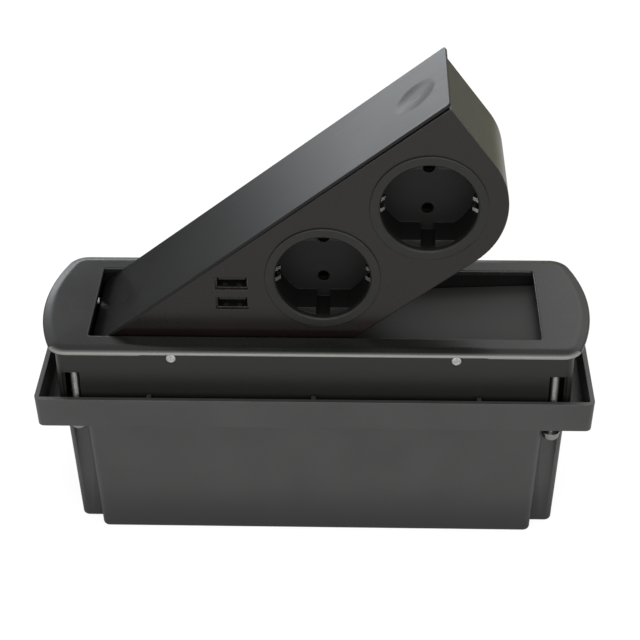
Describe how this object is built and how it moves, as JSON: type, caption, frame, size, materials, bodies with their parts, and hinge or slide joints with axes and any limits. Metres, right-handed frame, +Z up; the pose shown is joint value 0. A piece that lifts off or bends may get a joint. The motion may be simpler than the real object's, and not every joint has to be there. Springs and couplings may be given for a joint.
{
  "type": "swivel desk socket",
  "caption": "Flush desk socket: a lidded head with round earthed sockets and USB ports swings up out of a framed window over a clamped tub.",
  "frame": {"origin": "middle of the tub's flat underside", "axes": "+Z up, +X along the length from the hinge end to the lifting end, -Y towards the sockets' faces"},
  "size_m": [0.2336, 0.089, 0.2058],
  "materials": {
    "tub_plastic": "fine grained, semi-matt",
    "gland_plastic": "matt",
    "bezel_finish": "satin",
    "inner_plastic": "matt",
    "screw_steel": "zinc plated",
    "bush_brass": "plain",
    "spring_steel": "plain",
    "flap_plastic": "satin",
    "lid_finish": "satin powder coat",
    "casing_plastic": "satin",
    "panel_plastic": "semi-gloss",
    "socket_plastic": "semi-gloss",
    "clip_nickel": "nickel plated",
    "contact_brass": "plain",
    "terminal_plastic": "matt",
    "usb_nickel": "nickel plated",
    "tongue_plastic": "matt",
    "board_green": "matt"
  },
  "bodies": {
    "tub": {"lower_tub": "tub_plastic", "cable_gland": "gland_plastic", "gland_nut": "gland_plastic"},
    "frame": {"bezel_frame": "bezel_finish", "well_liner": "inner_plastic", "skirt_screws": "screw_steel", "clamp_screws": "screw_steel", "clamp_washers": "screw_steel", "stop_screw": "screw_steel", "pivot_bushes": "bush_brass", "return_spring": "spring_steel", "flap_pin": "spring_steel"},
    "flap": {"flap": "flap_plastic"},
    "head": {"lid_plate": "lid_finish", "head_casing": "casing_plastic", "front_panel": "panel_plastic", "panel_screws": "screw_steel", "pivot_pins": "spring_steel", "socket_lower": "socket_plastic", "socket_upper": "socket_plastic", "earth_clips": "clip_nickel", "pin_contacts": "contact_brass", "live_bar": "contact_brass", "neutral_bar": "contact_brass", "earth_bar": "contact_brass", "terminal_block": "terminal_plastic", "terminal_screws": "screw_steel", "usb_shells": "usb_nickel", "usb_tongues": "tongue_plastic", "usb_board": "board_green"}
  },
  "joints": [
    {"name": "clamp_travel", "type": "slide", "parent": "tub", "child": "frame", "axis": [0, 0, 1], "range_m": [0, 0.0042]},
    {"name": "head_swivel", "type": "hinge", "parent": "frame", "child": "head", "pos_m": [-0.0839, 0, 0.0915], "axis": [0, 1, 0], "range_deg": [0, 38], "stiffness_Nm_per_rad": 0.16, "springref_deg": -108.86},
    {"name": "flap_swing", "type": "hinge", "parent": "frame", "child": "flap", "pos_m": [0.1005, 0, 0.0909], "axis": [0, -1, 0], "range_deg": [0, 85.5]}
  ],
  "couplings": [
    {"joint": "flap_swing", "follows": "head_swivel", "ratio": 2.25}
  ]
}
